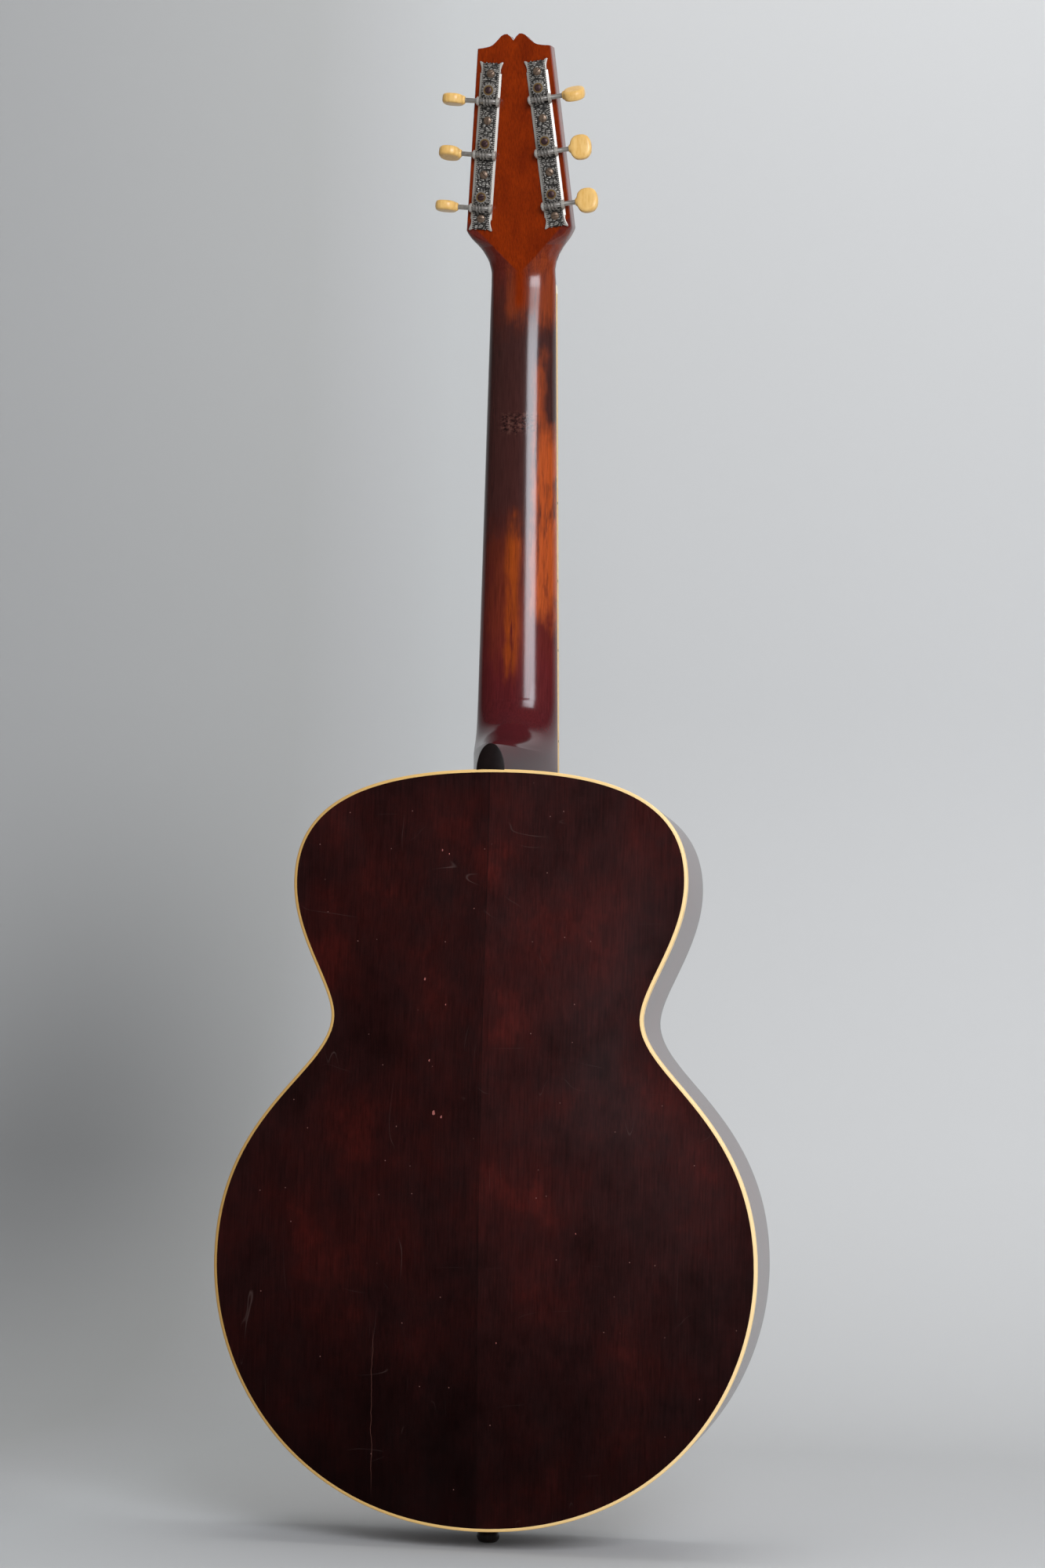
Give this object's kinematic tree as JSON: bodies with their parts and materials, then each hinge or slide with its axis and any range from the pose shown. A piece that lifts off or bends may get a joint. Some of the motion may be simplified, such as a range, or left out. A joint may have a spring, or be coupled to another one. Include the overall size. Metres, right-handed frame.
{
  "type": "archtop acoustic guitar",
  "caption": "Small-bodied archtop acoustic guitar with arched plates, round sound hole, trapeze tailpiece, floating bridge and geared tuners.",
  "frame": {"origin": "centre of the end pin's flat outer face, on the guitar's centre plane", "axes": "+Z along the body and neck to the head, +Y out through the soundboard, +X to the bass side"},
  "size_m": [0.345, 0.1202, 0.9858],
  "materials": {
    "back_lacquer": "dark red-brown glossy lacquer over mahogany",
    "rim_lacquer": "glossy red-brown lacquer over mahogany",
    "top_lacquer": "aged amber lacquer over spruce",
    "neck_lacquer": "worn orange-red lacquer over mahogany",
    "bare_spruce": "bare",
    "bare_mahogany": "bare",
    "ivoroid": "aged cream celluloid",
    "button": "yellowed cream celluloid",
    "ebony": "oiled ebony",
    "black_veneer": "black, lacquered",
    "bone": "polished bone",
    "nickel": "nickel plate",
    "aged_nickel": "tarnished engraved nickel silver",
    "brass": "dull brass",
    "steel": "drawn steel",
    "bronze": "wound bronze",
    "guard": "dark mottled celluloid"
  },
  "bodies": {
    "guitar": {"back_plate": "back_lacquer", "bass_rim": "rim_lacquer", "treble_rim": "rim_lacquer", "top_plate": "top_lacquer", "neck": "neck_lacquer", "bass_back_lining": "bare_spruce", "treble_back_lining": "bare_spruce", "bass_top_lining": "bare_spruce", "treble_top_lining": "bare_spruce", "transverse_brace": "bare_spruce", "neck_block": "bare_mahogany", "tail_block": "bare_mahogany", "back_binding": "ivoroid", "top_binding": "ivoroid", "fingerboard_binding": "ivoroid", "fingerboard": "ebony", "bridge_base": "ebony", "end_pin": "ebony", "truss_rod_cover": "ebony", "head_veneer": "black_veneer", "heel_cap": "black_veneer", "nut": "bone", "tailpiece_bracket": "nickel", "pickguard_bracket": "nickel", "bass_tuner_plate": "aged_nickel", "treble_tuner_plate": "aged_nickel", "bass_bridge_post": "brass", "treble_bridge_post": "brass", "tailpiece_hinge_pin": "steel", "truss_rod": "steel", "string_1": "steel", "string_2": "steel", "string_3": "bronze", "string_4": "bronze", "string_5": "bronze", "string_6": "bronze", "pickguard": "guard"},
    "saddle": {"bridge_saddle": "ebony"},
    "bass_wheel": {"bass_thumbwheel": "brass"},
    "treble_wheel": {"treble_thumbwheel": "brass"},
    "tailpiece": {"tailpiece_frame": "nickel"},
    "rod_nut": {"truss_rod_nut": "brass"},
    "string_1_key": {"string_1_worm_shaft": "steel", "string_1_button": "button"},
    "string_1_post": {"string_1_gear_post": "nickel"},
    "string_2_key": {"string_2_worm_shaft": "steel", "string_2_button": "button"},
    "string_2_post": {"string_2_gear_post": "nickel"},
    "string_3_key": {"string_3_worm_shaft": "steel", "string_3_button": "button"},
    "string_3_post": {"string_3_gear_post": "nickel"},
    "string_4_key": {"string_4_worm_shaft": "steel", "string_4_button": "button"},
    "string_4_post": {"string_4_gear_post": "nickel"},
    "string_5_key": {"string_5_worm_shaft": "steel", "string_5_button": "button"},
    "string_5_post": {"string_5_gear_post": "nickel"},
    "string_6_key": {"string_6_worm_shaft": "steel", "string_6_button": "button"},
    "string_6_post": {"string_6_gear_post": "nickel"}
  },
  "joints": [
    {"name": "bass_thumbwheel_turn", "type": "hinge", "parent": "saddle", "child": "bass_wheel", "pos_m": [0.037, 0.0602, 0.19007], "axis": [0, 1, 0], "range_deg": [0, 1350]},
    {"name": "treble_thumbwheel_turn", "type": "hinge", "parent": "saddle", "child": "treble_wheel", "pos_m": [-0.037, 0.0602, 0.19007], "axis": [0, 1, 0], "range_deg": [0, 1350]},
    {"name": "saddle_lift", "type": "slide", "parent": "guitar", "child": "saddle", "axis": [0, 1, 0], "range_m": [0, 0.003], "deforming": ["string_1", "string_2", "string_3", "string_4", "string_5", "string_6"]},
    {"name": "tailpiece_swing", "type": "hinge", "parent": "guitar", "child": "tailpiece", "pos_m": [0, 0.0447, 0.0183], "axis": [-1, 0, 0], "range_deg": [0, 1]},
    {"name": "truss_rod_nut_turn", "type": "hinge", "parent": "guitar", "child": "rod_nut", "pos_m": [0, 0.0335, 0.82011], "axis": [0, -0.0236, 0.9997], "range_deg": [-180, 180]},
    {"name": "string_1_button_turn", "type": "hinge", "parent": "guitar", "child": "string_1_key", "pos_m": [-0.02458, 0.01053, 0.87072], "axis": [0.9949, 0.0256, -0.0979], "continuous": true},
    {"name": "string_1_post_turn", "type": "hinge", "parent": "guitar", "child": "string_1_post", "pos_m": [-0.02385, 0.00872, 0.87765], "axis": [0, -0.9675, -0.2529], "continuous": true},
    {"name": "string_2_button_turn", "type": "hinge", "parent": "guitar", "child": "string_2_key", "pos_m": [-0.02104, 0.00172, 0.9044], "axis": [0.9949, 0.0256, -0.0979], "continuous": true},
    {"name": "string_2_post_turn", "type": "hinge", "parent": "guitar", "child": "string_2_post", "pos_m": [-0.02031, -0.00009, 0.91133], "axis": [0, -0.9675, -0.2529], "continuous": true},
    {"name": "string_3_button_turn", "type": "hinge", "parent": "guitar", "child": "string_3_key", "pos_m": [-0.0175, -0.00708, 0.93809], "axis": [0.9949, 0.0256, -0.0979], "continuous": true},
    {"name": "string_3_post_turn", "type": "hinge", "parent": "guitar", "child": "string_3_post", "pos_m": [-0.01677, -0.0089, 0.94502], "axis": [0, -0.9675, -0.2529], "continuous": true},
    {"name": "string_4_button_turn", "type": "hinge", "parent": "guitar", "child": "string_4_key", "pos_m": [0.0175, -0.00708, 0.93809], "axis": [0.9949, -0.0256, 0.0979], "continuous": true},
    {"name": "string_4_post_turn", "type": "hinge", "parent": "guitar", "child": "string_4_post", "pos_m": [0.01677, -0.0089, 0.94502], "axis": [0, -0.9675, -0.2529], "continuous": true},
    {"name": "string_5_button_turn", "type": "hinge", "parent": "guitar", "child": "string_5_key", "pos_m": [0.02104, 0.00172, 0.9044], "axis": [0.9949, -0.0256, 0.0979], "continuous": true},
    {"name": "string_5_post_turn", "type": "hinge", "parent": "guitar", "child": "string_5_post", "pos_m": [0.02031, -0.00009, 0.91133], "axis": [0, -0.9675, -0.2529], "continuous": true},
    {"name": "string_6_button_turn", "type": "hinge", "parent": "guitar", "child": "string_6_key", "pos_m": [0.02458, 0.01053, 0.87072], "axis": [0.9949, -0.0256, 0.0979], "continuous": true},
    {"name": "string_6_post_turn", "type": "hinge", "parent": "guitar", "child": "string_6_post", "pos_m": [0.02385, 0.00872, 0.87765], "axis": [0, -0.9675, -0.2529], "continuous": true}
  ],
  "couplings": [
    {"joint": "treble_thumbwheel_turn", "follows": "bass_thumbwheel_turn", "ratio": 1},
    {"joint": "saddle_lift", "follows": "bass_thumbwheel_turn", "m_per_rad": 0.00012732},
    {"joint": "tailpiece_swing", "follows": "bass_thumbwheel_turn", "ratio": 0.00072906},
    {"joint": "string_1_post_turn", "follows": "string_1_button_turn", "ratio": -0.071429},
    {"joint": "string_2_post_turn", "follows": "string_2_button_turn", "ratio": -0.071429},
    {"joint": "string_3_post_turn", "follows": "string_3_button_turn", "ratio": -0.071429},
    {"joint": "string_4_post_turn", "follows": "string_4_button_turn", "ratio": -0.071429},
    {"joint": "string_5_post_turn", "follows": "string_5_button_turn", "ratio": -0.071429},
    {"joint": "string_6_post_turn", "follows": "string_6_button_turn", "ratio": -0.071429}
  ]
}
